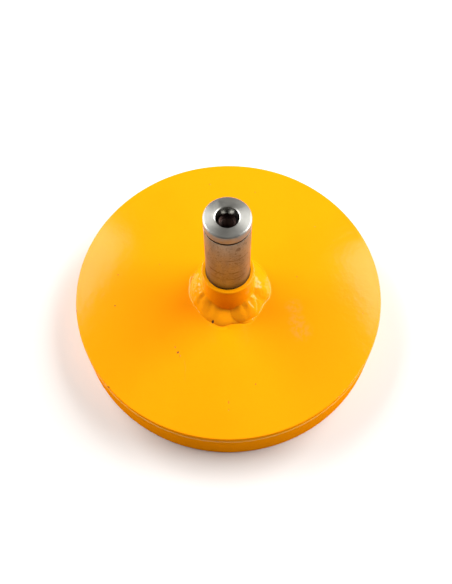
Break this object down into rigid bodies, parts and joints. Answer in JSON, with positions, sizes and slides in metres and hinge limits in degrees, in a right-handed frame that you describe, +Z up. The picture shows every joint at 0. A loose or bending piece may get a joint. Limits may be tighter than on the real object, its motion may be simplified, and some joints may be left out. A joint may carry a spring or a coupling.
{
  "type": "banding wheel",
  "caption": "Low drum base with a flat round steel head that spins on ball bearings, with a bare upright spindle welded through its middle.",
  "frame": {"origin": "on the bench surface, at the middle of the drum base's foot, on the spin axis", "axes": "+Z up along the spin axis and out of the spindle's end; +X and +Y lie in the bench plane, and +X is to the right of a person who looks along +Y"},
  "size_m": [0.219, 0.219, 0.1315],
  "materials": {
    "orange_paint": "gloss enamel over steel, slight orange peel, chips and scuffs",
    "turned_steel": "turned, with wear rings and a light brown stain",
    "bearing_steel": "ground and polished",
    "spring_steel": "black phosphated",
    "black_steel": "black oxide",
    "seal_rubber": "matt nitrile rubber",
    "zinc_steel": "zinc plated",
    "cage_brass": "satin"
  },
  "bodies": {
    "base": {"base_rim": "orange_paint", "base_floor": "orange_paint", "rim_stitch_welds": "orange_paint", "bearing_housing": "turned_steel", "housing_screws": "black_steel", "upper_outer_ring": "bearing_steel", "lower_outer_ring": "bearing_steel", "outer_spacer": "turned_steel", "housing_circlip": "spring_steel", "upper_bearing_seals": "seal_rubber", "lower_bearing_seals": "seal_rubber", "dust_cap": "zinc_steel"},
    "head": {"head_plate": "orange_paint", "hub_collar": "orange_paint", "hub_weld": "orange_paint", "spindle": "turned_steel", "upper_inner_ring": "bearing_steel", "lower_inner_ring": "bearing_steel", "inner_spacer": "turned_steel", "spindle_circlip": "spring_steel"},
    "upper_cage": {"upper_ball_cage": "cage_brass", "upper_balls": "bearing_steel"},
    "lower_cage": {"lower_ball_cage": "cage_brass", "lower_balls": "bearing_steel"}
  },
  "joints": [
    {"name": "head_spin", "type": "hinge", "parent": "base", "child": "head", "pos_m": [0, 0, 0.033], "axis": [0, 0, 1], "continuous": true},
    {"name": "upper_cage_spin", "type": "hinge", "parent": "base", "child": "upper_cage", "pos_m": [0, 0, 0.02], "axis": [0, 0, 1], "continuous": true},
    {"name": "lower_cage_spin", "type": "hinge", "parent": "base", "child": "lower_cage", "pos_m": [0, 0, 0.008], "axis": [0, 0, 1], "continuous": true}
  ],
  "couplings": [
    {"joint": "upper_cage_spin", "follows": "head_spin", "ratio": 0.4435},
    {"joint": "lower_cage_spin", "follows": "head_spin", "ratio": 0.4435}
  ]
}
